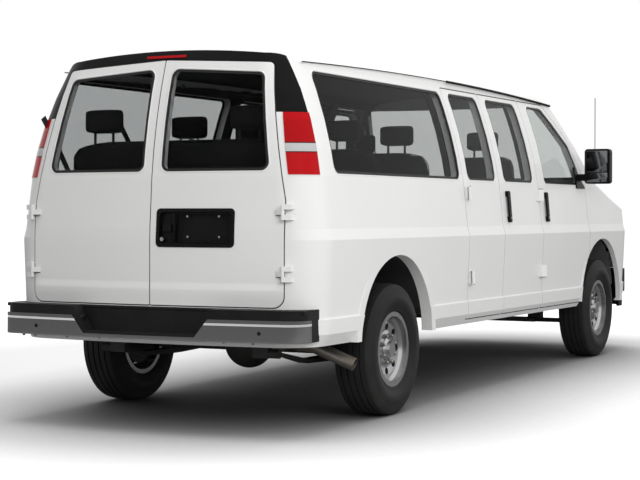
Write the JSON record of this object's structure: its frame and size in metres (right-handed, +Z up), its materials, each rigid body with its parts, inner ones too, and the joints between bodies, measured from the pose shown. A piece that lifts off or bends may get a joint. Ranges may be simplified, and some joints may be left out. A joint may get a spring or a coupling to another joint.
{
  "type": "minibus",
  "caption": "Long passenger minibus with hinged cab, side and rear doors, hood, steered front wheels and a furnished hollow cabin.",
  "frame": {"origin": "on the ground below the middle of the overall length", "axes": "+X forward along the vehicle, +Y to its left, +Z up"},
  "size_m": [6.2021, 2.436, 2.1331],
  "materials": {
    "white_paint": "gloss",
    "black_plastic": "matte",
    "chassis_black": "matte",
    "tinted_glass": "gloss",
    "lamp_red": "gloss",
    "lamp_clear": "gloss",
    "exhaust_steel": "satin",
    "chrome": "polished",
    "tyre": "matte",
    "silver_wheel": "satin",
    "floor_mat": "matte",
    "seat_fabric": "woven",
    "dash_grey": "matte"
  },
  "bodies": {
    "vehicle": {"aerial": "black_plastic", "benches": "seat_fabric", "bulkhead": "white_paint", "cab_seats": "seat_fabric", "chassis_frame": "chassis_black", "dashboard": "dash_grey", "door_posts": "white_paint", "driveline": "chassis_black", "engine_cover": "floor_mat", "exhaust": "exhaust_steel", "floor": "floor_mat", "front_bumper": "black_plastic", "front_suspension": "chassis_black", "front_wings": "white_paint", "fuel_tank": "chassis_black", "grille": "black_plastic", "headlamps": "lamp_clear", "rear_axle": "chassis_black", "rear_bumper": "chrome", "rear_covers": "black_plastic", "rear_frame": "white_paint", "rear_lamps": "lamp_red", "rear_step": "black_plastic", "roof_panel": "white_paint", "screen_frame": "white_paint", "side_glass": "tinted_glass", "side_panel_left": "white_paint", "side_panel_right": "white_paint", "windscreen": "tinted_glass"},
    "cab_door_left": {"cab_door_left": "white_paint", "cab_door_left_glass": "tinted_glass", "door_mirror_left": "black_plastic", "cab_handle_left": "black_plastic"},
    "cab_door_right": {"cab_door_right": "white_paint", "cab_door_right_glass": "tinted_glass", "door_mirror_right": "black_plastic", "cab_handle_right": "black_plastic"},
    "side_door_front": {"side_door_front": "white_paint", "side_door_front_glass": "tinted_glass", "side_door_handle": "black_plastic"},
    "side_door_rear": {"side_door_rear": "white_paint", "side_door_rear_glass": "tinted_glass"},
    "rear_door_left": {"rear_door_left": "white_paint", "rear_door_left_glass": "tinted_glass"},
    "rear_door_right": {"rear_door_right": "white_paint", "rear_door_right_glass": "tinted_glass", "plate_surround": "black_plastic"},
    "hood": {"hood": "white_paint"},
    "knuckle_left": {"knuckle_left": "chassis_black"},
    "knuckle_right": {"knuckle_right": "chassis_black"},
    "wheel_front_left": {"wheel_front_left": "silver_wheel", "tyre_front_left": "tyre"},
    "wheel_front_right": {"wheel_front_right": "silver_wheel", "tyre_front_right": "tyre"},
    "wheel_rear_left": {"wheel_rear_left": "silver_wheel", "tyre_rear_left": "tyre"},
    "wheel_rear_right": {"wheel_rear_right": "silver_wheel", "tyre_rear_right": "tyre"}
  },
  "joints": [
    {"name": "cab_door_left_hinge", "type": "hinge", "parent": "vehicle", "child": "cab_door_left", "pos_m": [1.78692, 1.011, 1.00031], "axis": [0.0109, -0.045, 0.9989], "range_deg": [-70, 0]},
    {"name": "cab_door_right_hinge", "type": "hinge", "parent": "vehicle", "child": "cab_door_right", "pos_m": [1.78692, -1.011, 1.00031], "axis": [0.0109, 0.045, 0.9989], "range_deg": [0, 70]},
    {"name": "side_door_front_hinge", "type": "hinge", "parent": "vehicle", "child": "side_door_front", "pos_m": [0.68048, -1.011, 1.0124], "axis": [0.0109, 0.045, 0.9989], "range_deg": [0, 85]},
    {"name": "side_door_rear_hinge", "type": "hinge", "parent": "vehicle", "child": "side_door_rear", "pos_m": [-0.71644, -1.011, 1.02766], "axis": [0.0109, 0.045, 0.9989], "range_deg": [-85, 0]},
    {"name": "rear_door_left_hinge", "type": "hinge", "parent": "vehicle", "child": "rear_door_left", "pos_m": [-2.92931, 0.82, 1.37185], "axis": [0.0109, 0, 0.9999], "range_deg": [-165, 0]},
    {"name": "rear_door_right_hinge", "type": "hinge", "parent": "vehicle", "child": "rear_door_right", "pos_m": [-2.92931, -0.82, 1.37185], "axis": [0.0109, 0, 0.9999], "range_deg": [0, 165]},
    {"name": "hood_hinge", "type": "hinge", "parent": "vehicle", "child": "hood", "pos_m": [2.17648, 0, 1.41608], "axis": [0, -1, 0], "range_deg": [0, 50]},
    {"name": "steer_left", "type": "hinge", "parent": "vehicle", "child": "knuckle_left", "pos_m": [2.087, 0.748, 0.387], "axis": [0.0109, 0, 0.9999], "range_deg": [-34, 34]},
    {"name": "front_wheel_left", "type": "hinge", "parent": "knuckle_left", "child": "wheel_front_left", "pos_m": [2.087, 0.871, 0.387], "axis": [0, 1, 0], "continuous": true},
    {"name": "rear_wheel_left", "type": "hinge", "parent": "vehicle", "child": "wheel_rear_left", "pos_m": [-1.85, 0.871, 0.387], "axis": [0, 1, 0], "continuous": true},
    {"name": "steer_right", "type": "hinge", "parent": "vehicle", "child": "knuckle_right", "pos_m": [2.087, -0.748, 0.387], "axis": [0.0109, 0, 0.9999], "range_deg": [-34, 34]},
    {"name": "front_wheel_right", "type": "hinge", "parent": "knuckle_right", "child": "wheel_front_right", "pos_m": [2.087, -0.871, 0.387], "axis": [0, 1, 0], "continuous": true},
    {"name": "rear_wheel_right", "type": "hinge", "parent": "vehicle", "child": "wheel_rear_right", "pos_m": [-1.85, -0.871, 0.387], "axis": [0, 1, 0], "continuous": true}
  ],
  "couplings": [
    {"joint": "steer_right", "follows": "steer_left", "ratio": 1}
  ]
}
